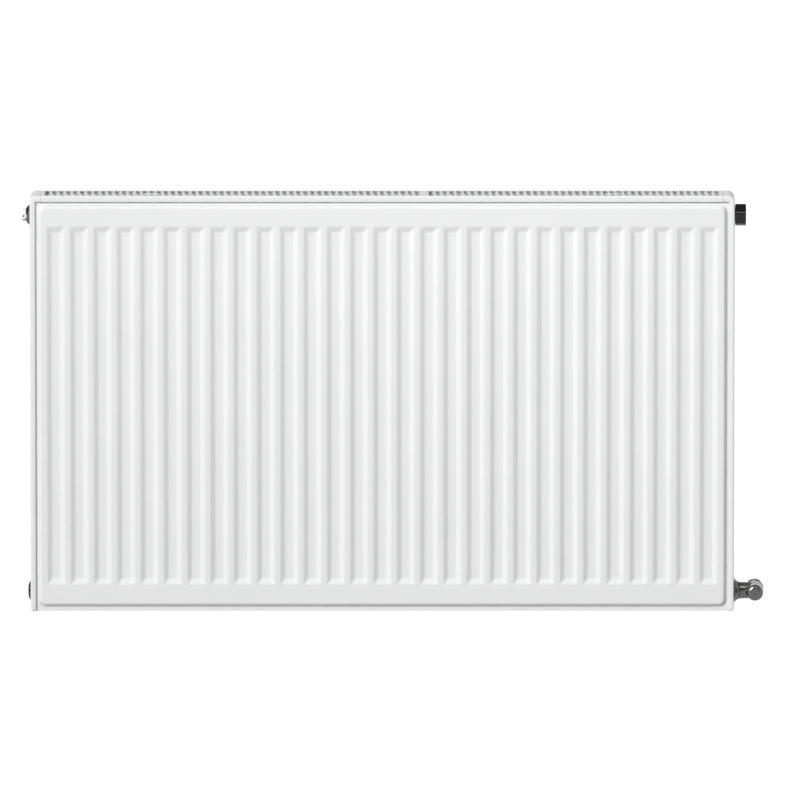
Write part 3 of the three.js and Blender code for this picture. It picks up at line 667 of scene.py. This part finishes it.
def side_cover(name, side):
    node = f"side_cover_{name}"
    rows, stretches = cover_path()
    shape = Shape()
    bend = cover_lips(shape, side, rows)
    columns = np.linspace(LIP_FRONT + bend, LIP_REAR - bend, BOSS_CELLS + 1)
    plate = [[(side * x, y, z) for y in columns] for x, z, _nx, _nz in rows]
    heights = np.array([z for _x, z, _nx, _nz in rows])
    plain_from = 0
    for (start, end), level in zip(stretches, sorted(PORT_Z.values())):
        first = int(np.argmin(np.abs(heights - start)))
        last = int(np.argmin(np.abs(heights - end)))
        if first > plain_from:
            shape.grid(plate[plain_from:first + 1])
        rim = [plate[first][j] for j in range(BOSS_CELLS)]
        rim += [plate[first + i][BOSS_CELLS] for i in range(BOSS_CELLS)]
        rim += [plate[last][BOSS_CELLS - j] for j in range(BOSS_CELLS)]
        rim += [plate[last - i][0] for i in range(BOSS_CELLS)]
        shape.grid(boss_rings(side, np.array(rim), level), closed=True)
        plain_from = last
    shape.grid(plate[plain_from:])
    piece = shape.build(f"{node}_fine")
    outward = max(piece.data.polygons, key=lambda face: face.area)
    if outward.normal.x * side < 0:
        piece.data.flip_normals()
    thicken(piece, COVER_SHEET)
    bevel(piece, 0.28, 2, 50)
    apply_modifiers(piece)
    shade(piece)
    stand_for(piece, node)


# ---------- top grille ----------
SLOT_COUNT = 97
SLOT_PITCH = 9.97
SLOT_HALF = 3.3
SLOT_REACH = 27.0
BLANK_SLOT = 54


def grille():
    node = "top_grille"
    top = COVER_TOP
    bend = 1.5
    arc = [math.radians(a) for a in np.linspace(0, 90, 6)]
    section = [(LIP_FRONT, LIP_BOTTOM, 0)]
    section += [
        (LIP_FRONT + bend * (1 - math.cos(a)), top - bend * (1 - math.sin(a)), 0) for a in arc
    ]
    ends = [math.radians(a) for a in np.linspace(0, 90, 8)]
    straight = SLOT_REACH - SLOT_HALF
    slot = [
        (MIDDLE - straight - SLOT_HALF * math.cos(a), top, SLOT_HALF * math.sin(a)) for a in ends
    ]
    slot += [(2 * MIDDLE - y, z, half) for y, z, half in reversed(slot)]
    section += slot
    section += [
        (LIP_REAR - bend * (1 - math.sin(a)), top - bend * (1 - math.cos(a)), 0) for a in arc
    ]
    section += [(LIP_REAR, LIP_BOTTOM, 0)]
    shape = Shape()
    for i in range(SLOT_COUNT):
        centre = (i - (SLOT_COUNT - 1) / 2) * SLOT_PITCH
        open_by = 0 if i == BLANK_SLOT else 1
        for side in (-1, 1):
            edge = centre + side * SLOT_PITCH / 2
            shape.grid([
                [(edge, y, z), (centre + side * half * open_by, y, z)] for y, z, half in section
            ])
    slots_end = SLOT_COUNT / 2 * SLOT_PITCH
    for side in (-1, 1):
        shape.grid([[(side * slots_end, y, z), (side * GRILLE_X, y, z)] for y, z, _half in section])
    piece = shape.build(f"{node}_fine")
    upward = max(piece.data.polygons, key=lambda face: abs(face.normal.z) * face.area)
    if upward.normal.z < 0:
        piece.data.flip_normals()
    thicken(piece, COVER_SHEET)
    bevel(piece, 0.22, 2, 50)
    apply_modifiers(piece)
    shade(piece)
    stand_for(piece, node)


# ---------- screwed fittings ----------
PIPE_PITCH = 1.814
SHOULDER = 12.7
SHOULDER_END = 2.4
NECK = 9.6
THREAD = 10.5
TAIL_BORE = 7.5
STEM_END = -14
UNION_NUT_TURN = -0.34
LOCKSHIELD_NUT_TURN = 0.5
VENT_TURN = 1.77
STEM = [
    (-13, THREAD), (-2.6, THREAD), (-2.6, NECK), (0.3, NECK), (0.3, SHOULDER),
    (SHOULDER_END, SHOULDER),
]
stem_thread = threaded(-13.4, -2.8, PIPE_PITCH, 0.9)


def fitting(name, side, level, profile, limit=None, **options):
    """A turned piece on a connection's axis. Distances run outwards from the tee's face."""
    placed = [(side * (TEE_FACE + distance), radius) for distance, radius in profile]
    outward = None
    if limit is not None:
        def outward(angles, distance, radius):
            return limit(angles, side * distance - TEE_FACE, radius)
    return revolve(name, placed, X, (0, MIDDLE, PORT_Z[level]), limit=outward, **options)


def wide_only(limit, least):
    """Uses a limit on the rows wider than least, and leaves the rest round."""
    def chosen(angles, distance, radius):
        return limit(angles, distance, radius) if radius > least else np.full_like(angles, radius)
    return chosen


def finish(piece, node, angle=32):
    shade(piece, angle)
    stand_for(piece, node)


def tailpiece(node, level, collar_from, collar_to, collar):
    """A hollow threaded stem, with the collar that keeps its union nut on."""
    profile = [
        (STEM_END, TAIL_BORE), (STEM_END, NECK), *STEM, (SHOULDER_END, NECK),
        (collar_from, NECK), (collar_from, collar), (collar_to, collar),
        (collar_to, TAIL_BORE), (STEM_END, TAIL_BORE),
    ]
    rows = subdivided(fillet(profile, 0.25), 0.35)
    finish(fitting(f"{node}_fine", 1, level, rows, limit=stem_thread), node)


def union():
    tailpiece("union_tailpiece", "top", 10, 12.5, 11.6)
    back, crown, mouth, floor = 2.7, 4.3, 18.0, 8.3
    wide, thread_radius, hole = 16.8, 12.3, 10.0
    outside = subdivided([(back, hole), (back, 14.2), (crown, wide)], 0.25)
    outside += subdivided([(crown, wide), (mouth - 0.9, wide), (mouth, 15)], 0.25)
    inside = [(mouth, 13), *subdivided([(mouth - 0.8, thread_radius), (floor, thread_radius)], 0.2)]
    inside += [(floor, hole), (back, hole)]
    hexed = hexagon(29, 0.9)

    def limit(angles, distance, radius):
        if radius > 12.9:
            return hexed(angles, distance, radius)
        if floor < distance < mouth - 1 and radius > hole:
            ridge = np.mod(distance / PIPE_PITCH - angles / (2 * math.pi), 1)
            return radius - 0.45 + 0.9 * np.abs(2 * ridge - 1)
        return np.full_like(angles, radius)

    nut = fitting(
        "union_nut_fine", 1, "top", outside + inside,
        limit=limit, segments=96, turn=UNION_NUT_TURN,
    )
    finish(nut, "union_nut", 28)


def blanking_plug():
    dome = [(SHOULDER_END, 13.5), (3.1, 13.5), (4.1, 11.6), (5.0, 9.2), (5.5, 7.2), (5.5, 5.9)]
    face = 5.2
    rows = [(STEM_END, 0), (STEM_END, NECK), *STEM, *dome, (face, 5.5)]
    rows = subdivided(fillet(rows, 0.25) + [(face, 0)], 0.3)
    plug = fitting("blanking_plug_fine", -1, "bottom", rows, limit=stem_thread)
    depth, beyond, key = -4, 8, hexagon(10)
    socket = subdivided([(depth, 0), (depth, 8), (beyond, 8), (beyond, 0)], 4)
    cut(plug, fitting("socket", -1, "bottom", socket, limit=key, segments=48))
    finish(plug, "blanking_plug")


def vent_body():
    cone_end, cone, boss_end, boss, bore, air = 7.4, 9.6, 11.6, 6.5, 4.0, 1.6
    flange = [(SHOULDER_END, 14.9), (SHOULDER_END + 0.8, 14.9), (cone_end, cone), (cone_end, boss)]
    rows = [(STEM_END, air), (STEM_END, NECK), *STEM, *flange]
    rows += [(boss_end, boss), (boss_end, bore), (-2, bore), (-2, air), (STEM_END, air)]
    hexed = hexagon(26)

    def limit(angles, distance, radius):
        chosen = hexed if distance > SHOULDER_END - 0.2 and radius > 11 else stem_thread
        return chosen(angles, distance, radius)

    rows = subdivided(fillet(rows, 0.2), 0.3)
    body = fitting(
        "vent_plug_body_fine", -1, "top", rows, limit=limit, segments=96, turn=VENT_TURN,
    )
    finish(body, "vent_plug_body")


SPOUT_CENTRE = 10.2  # distance of the spout's axis from the tee's face


def vent_nozzle():
    """A cup with a flared spout, which turns on the plug's boss."""
    start, end = -TEE_FACE - span("vent_nozzle", X)[1], 13.0
    radius, fit, floor, mouth = 8.9, 6.8, 11.9, 4.6
    cup = fitting("vent_nozzle_fine", -1, "top", fillet([
        (start, fit), (start, radius - 0.8), (start + 0.9, radius), (end - 1.1, radius),
        (end, radius - 1), (end, mouth), (floor, mouth), (floor, fit), (start, fit),
    ], 0.4))
    neck, head = 2.4, 4.3
    place = (-TEE_FACE - SPOUT_CENTRE, 0, PORT_Z["top"])
    tip = span("vent_nozzle", Y)[0]
    join(cup, revolve("spout", fillet([
        (MIDDLE - fit - 1, 0), (MIDDLE - fit - 1, neck), (MIDDLE - 12.6, neck),
        (MIDDLE - 14.2, head), (tip + 0.8, head), (tip, head - 0.7), (tip, 0),
    ], 0.5), Y, place, 48))
    bore = 1.2
    outlet = [
        (MIDDLE - fit, 0), (MIDDLE - fit, bore), (tip + 0.8, bore), (tip - 1, 2.6), (tip - 1, 0),
    ]
    cut(cup, revolve("outlet", outlet, Y, place, 32))
    finish(cup, "vent_nozzle")


def bleed_screw():
    radius, shoulder, end, across_flats = 3.7, 11.3, 13.0, 5.0
    needle = [
        (-3.2, 0), (-1.7, 1.2), (-1.7, radius), (shoulder - 0.4, radius), (shoulder, radius - 0.3),
    ]
    rows = subdivided(fillet([*needle, (shoulder, 0)], 0.2), 0.25)
    screw = fitting("bleed_screw_fine", -1, "top", rows, limit=threaded(-1.4, 10.4, 1.0, 0.55))
    key = [(shoulder - 0.4, 0), (shoulder - 0.4, 5), (end - 0.4, 5), (end, 3.2), (end, 0)]
    join(screw, fitting("key", -1, "top", key, limit=square(across_flats), segments=64))
    finish(screw, "bleed_screw")


def square(across_flats):
    """Limits a turned shape to a square with cut corners."""
    def limit(angles, _distance, radius):
        sector = np.mod(angles + math.pi / 4, math.pi / 2) - math.pi / 4
        flat = across_flats / 2 / np.cos(sector)
        return np.minimum(radius, np.minimum(flat, across_flats * 0.66))
    return limit


# ---------- lockshield valve ----------
VALVE_SEAT = -61
CAP_REAR = -77.8


def valve_turned(name, profile, **options):
    return revolve(name, profile, Y, (VALVE_X, 0, PORT_Z["bottom"]), **options)


def valve_body():
    """A cast and machined angle body: the barrel and its side branch grown together.

    A broad round cutter, beside the cap, keeps the branch clear of it.
    """
    front, rear = span("lockshield_body", Y)
    shoulder = span("lockshield_pipe_sleeve", Y)[0] - 0.3
    spigot = 9.2
    barrel = valve_turned("lockshield_body_fine", subdivided(fillet([
        (rear, 0), (rear, spigot), (shoulder, spigot), (shoulder, 11.5), (-56, 12), (-64, 12.3),
        (-72, 11.9), (-76.8, 10.8), (CAP_REAR, 9.7), (front, 9.7), (front, 0),
    ], 0.6), 0.8), segments=72)
    branch = fitting("branch", 1, "bottom", subdivided(fillet([
        (7.8, 0), (7.8, 11.1), (9.9, 11.1), (10.3, 12), (16, 11.8), (32, 11.4), (32, 0),
    ], 0.5), 0.8), segments=72)
    reach, cutter = 12.4, 30
    left, right = VALVE_X - TEE_FACE - reach, VALVE_X - TEE_FACE + reach
    under_cap = fitting("under_cap", 1, "bottom", [
        (left, 0), (left, cutter), (right, cutter), (right, 0),
    ])
    under_cap.location.y = (CAP_REAR - cutter - MIDDLE) * MM
    cut(branch, under_cap)
    join(barrel, branch)
    remesh = barrel.modifiers.new("cast", "REMESH")
    remesh.mode = "VOXEL"
    remesh.voxel_size = 0.28 * MM
    relax = barrel.modifiers.new("relax", "SMOOTH")
    relax.factor = 0.5
    relax.iterations = 3
    apply_modifiers(barrel)
    water, chamber, branch_bore = 5.5, 8.2, 6.0
    inlet = [
        (rear + 1, 0), (rear + 1, water), (VALVE_SEAT - 1, water), (VALVE_SEAT - 1, 0),
    ]
    cut(barrel, valve_turned("water", inlet))
    hollow = [
        (VALVE_SEAT, 0), (VALVE_SEAT, chamber), (front - 1, chamber), (front - 1, 0),
    ]
    cut(barrel, valve_turned("chamber", hollow))
    side_bore = [(7, 0), (7, branch_bore), (32, branch_bore), (32, 0)]
    cut(barrel, fitting("branch_bore", 1, "bottom", side_bore))
    finish(barrel, "lockshield_body", 40)


def pipe_sleeve():
    """The compression nut on the valve's rear, with its corners turned down."""
    front, rear = span("lockshield_pipe_sleeve", Y)
    tips, bore, fit, step = 13.0, 7.7, 9.5, -47.0
    outside = subdivided([(rear, bore), (rear, tips - 1.2), (rear - 1.2, tips)], 0.25)
    outside += subdivided([(rear - 1.2, tips), (front + 1.2, tips), (front, tips - 1.2)], 0.4)
    inside = [(front, fit), (step, fit), (step, bore), (rear - 0.6, bore), (rear, bore)]
    limit = wide_only(hexagon(25), fit + 0.5)
    sleeve = valve_turned("lockshield_pipe_sleeve_fine", outside + inside, limit=limit,
                          segments=96, turn=0.1)
    finish(sleeve, "lockshield_pipe_sleeve", 28)


def valve_union():
    tailpiece("lockshield_tailpiece", "bottom", 6, 7.5, 11)
    flare = [
        (2.7, 10), (2.7, 16.8), (3.0, 17.1), (3.5, 17), (5.2, 14.6), (7.2, 13.2), (9.6, 12.6),
    ]
    inside = [(9.6, 11.6), (5.6, 11.5), (5.6, 10), (2.7, 10)]
    nut = fitting("lockshield_union_nut_fine", 1, "bottom", subdivided(flare, 0.25) + inside,
                  limit=wide_only(hexagon(32, 0.5), 12), segments=96,
                  turn=LOCKSHIELD_NUT_TURN)
    finish(nut, "lockshield_union_nut", 28)


def valve_cap():
    front, rim = span("lockshield_cap", Y)
    radius, crown, dome_from = 11.8, 5.6, -91
    dome = [
        (dome_from + (front - dome_from) * math.sin(a), radius - crown + crown * math.cos(a))
        for a in np.linspace(0, math.pi / 2, 12)
    ]
    cap = valve_turned("lockshield_cap_fine", fillet([
        (rim, 10.1), (rim, radius - 0.5), (rim - 0.5, radius), *dome, (front, 3), (front, 0),
        (-95, 0), (-95, 7.5), (-92.5, 10.1), (rim, 10.1),
    ], 0.25), segments=96)
    finish(cap, "lockshield_cap")


def valve_bonnet():
    body_front = span("lockshield_body", Y)[0]
    low = span("lockshield_bonnet", Y)[0]
    rear, neck_rear, crown = -77.0, -82.0, -87.0
    thread_radius, head_radius, bore, stem_hole, mouth = 7.9, 9.9, 4.3, 2.9, 5.0
    hexed = hexagon(17)

    def limit(angles, distance, radius):
        in_head = distance < body_front - 0.2
        return hexed(angles, distance, radius) if in_head else np.full_like(angles, radius)

    thread = [(rear, 7.5), (rear - 0.4, thread_radius)]
    thread += subdivided([(rear - 0.4, thread_radius), (body_front - 0.1, thread_radius)], 0.3)
    head = [(body_front - 0.3, 9)]
    head += subdivided([
        (body_front - 0.3, head_radius), (crown + 0.8, head_radius), (crown, 8.6),
    ], 0.2)
    inside = [
        (crown, mouth), (low + 0.3, mouth), (low, 4.7), (low, stem_hole), (neck_rear, stem_hole),
        (neck_rear, bore), (rear, bore),
    ]
    bonnet = valve_turned("lockshield_bonnet_fine", [(rear, bore), *thread, *head, *inside],
                          limit=limit, segments=96)
    finish(bonnet, "lockshield_bonnet")


def valve_spindle():
    low, high = span("lockshield_spindle", Y)
    stalk, collar, collar_rear, collar_front = 2.5, 4.0, -77.3, -79.2
    rows = subdivided(fillet([
        (high, 0), (high, stalk), (collar_rear, stalk), (collar_rear, collar),
        (collar_front, collar), (collar_front, stalk), (low, stalk), (low, 0),
    ], 0.2), 0.25)
    thread = threaded(-76.5, high - 0.2, 1.0, 0.5)
    spindle = valve_turned("lockshield_spindle_fine", rows, limit=thread)
    level = PORT_Z["bottom"]
    corners = [(-4, -0.5), (4, -0.5), (4, 0.5), (-4, 0.5)]
    slot = Shape()
    slot.grid([
        [(VALVE_X + size * dx, y, level + size * dz) for dx, dz in corners]
        for y, size in ((low - 1, 0), (low - 1, 1), (low + 1.4, 1), (low + 1.4, 0))
    ], closed=True)
    cut(spindle, slot.build("slot"))
    finish(spindle, "lockshield_spindle")


def valve():
    valve_body()
    pipe_sleeve()
    valve_union()
    valve_cap()
    valve_bonnet()
    valve_spindle()


# ---------- pieces that keep their CAD mesh ----------
def dress_cad_nodes():
    """Materials and softened edges for every CAD node that stays visible."""
    for node, piece in frame["nodes"].items():
        if piece.hide_render:
            continue
        piece.data.materials.clear()
        piece.data.materials.append(MATERIALS[SLOT_OF[node]])
        bevel(piece, 0.35, 2, 40)


def build():
    water_panels()
    convector()
    for level in PORT_Z:
        for name in ("left", "right"):
            tee(f"port_tee_{level}_{name}")
    side_cover("left", -1)
    side_cover("right", 1)
    grille()
    union()
    blanking_plug()
    vent_body()
    vent_nozzle()
    bleed_screw()
    valve()
    dress_cad_nodes()


# ---------- stage ----------
ELEVATION = math.radians(8.0)
CAMERA_DISTANCE = 24.0
VIEW_WIDTH = 1.144  # metres across the frame, at the front of the radiator
AIM = (0.0254, FRONT * MM, 0.3060)


def camera():
    data = bpy.data.cameras.new("camera")
    data.sensor_width = 36
    data.lens = data.sensor_width * CAMERA_DISTANCE / VIEW_WIDTH
    data.clip_end = 200
    eye = bpy.data.objects.new("camera", data)
    eye.location = (
        AIM[0],
        AIM[1] - CAMERA_DISTANCE * math.cos(ELEVATION),
        AIM[2] + CAMERA_DISTANCE * math.sin(ELEVATION),
    )
    eye.rotation_euler = (math.pi / 2 - ELEVATION, 0, 0)
    bpy.context.scene.collection.objects.link(eye)
    bpy.context.scene.camera = eye


def lamp(name, kind, rotation, place=(0, 0, 0)):
    light = bpy.data.lights.new(name, kind)
    holder = bpy.data.objects.new(name, light)
    holder.rotation_euler = [math.radians(angle) for angle in rotation]
    holder.location = place
    bpy.context.scene.collection.objects.link(holder)
    return holder


def lights():
    """A soft key light from the upper left of the camera, and a strip above the front."""
    key = lamp("key", "SUN", (61, 0, -37)).data
    key.energy = 2.85
    key.angle = math.radians(16)
    holder = lamp("strip", "AREA", (58, 0, 0), (0.1, -0.85, 1.08))
    holder.visible_camera = False
    strip = holder.data
    strip.shape = "RECTANGLE"
    strip.size, strip.size_y = 1.7, 0.12
    strip.energy = 2.8


AMBIENT = 0.425
AREAS = [  # direction, the angles round it where the change starts and ends, and its strength
    ((0, 0, 1), 66, 26, 0.42),
    ((0, -0.995, 0.1), 46, 26, 0.24),
    ((-0.905, 0.42, 0.05), 48, 30, 0.12),
    ((0, 0.99, -0.14), 36, 24, 2.5),
]


def studio():
    """Soft light all round, dimmer overhead, with dark areas for the metal to mirror in
    front and on the left, and a white backdrop."""
    world = bpy.data.worlds.new("studio")
    world.use_nodes = True
    graph = Graph(world)
    ray = graph.add("ShaderNodeTexCoord").outputs["Generated"]
    light = AMBIENT
    for direction, start, end, strength in AREAS:
        facing = graph.add("ShaderNodeVectorMath", {"operation": "DOT_PRODUCT"})
        facing.inputs[1].default_value = direction
        graph.join(ray, facing.inputs[0])
        limits = [math.cos(math.radians(angle)) for angle in (start, end)]
        part = graph.smooth(facing.outputs["Value"], limits, (1, strength))
        product = graph.add("ShaderNodeMath", {"operation": "MULTIPLY"}, Value=light)
        graph.join(part, product.inputs[1])
        light = product.outputs["Value"]
    background = world.node_tree.nodes["Background"]
    background.inputs["Color"].default_value = (1, 1, 1, 1)
    graph.join(light, background.inputs["Strength"])
    bpy.context.scene.world = world


FLOOR_Z = -1.6
FLOOR_REACH = 40.0
FLOOR_BACK = 7.8  # metres behind the wall plane, where the backdrop takes over


def floor():
    """A plain pale floor, well below the radiator."""
    mesh = bpy.data.meshes.new("floor")
    corners = [
        (x, y, FLOOR_Z)
        for x, y in (
            (-FLOOR_REACH, -FLOOR_REACH), (FLOOR_REACH, -FLOOR_REACH),
            (FLOOR_REACH, FLOOR_BACK), (-FLOOR_REACH, FLOOR_BACK),
        )
    ]
    mesh.from_pydata(corners, [], [(0, 1, 2, 3)])
    plane = bpy.data.objects.new("floor", mesh)
    bpy.context.scene.collection.objects.link(plane)
    material, _shader = new_material("floor", Base_Color=(0.6, 0.6, 0.6, 1), Roughness=0.9)
    mesh.materials.append(material)


camera()
lights()
studio()
floor()
build()
bpy.context.scene.view_settings.view_transform = "Standard"
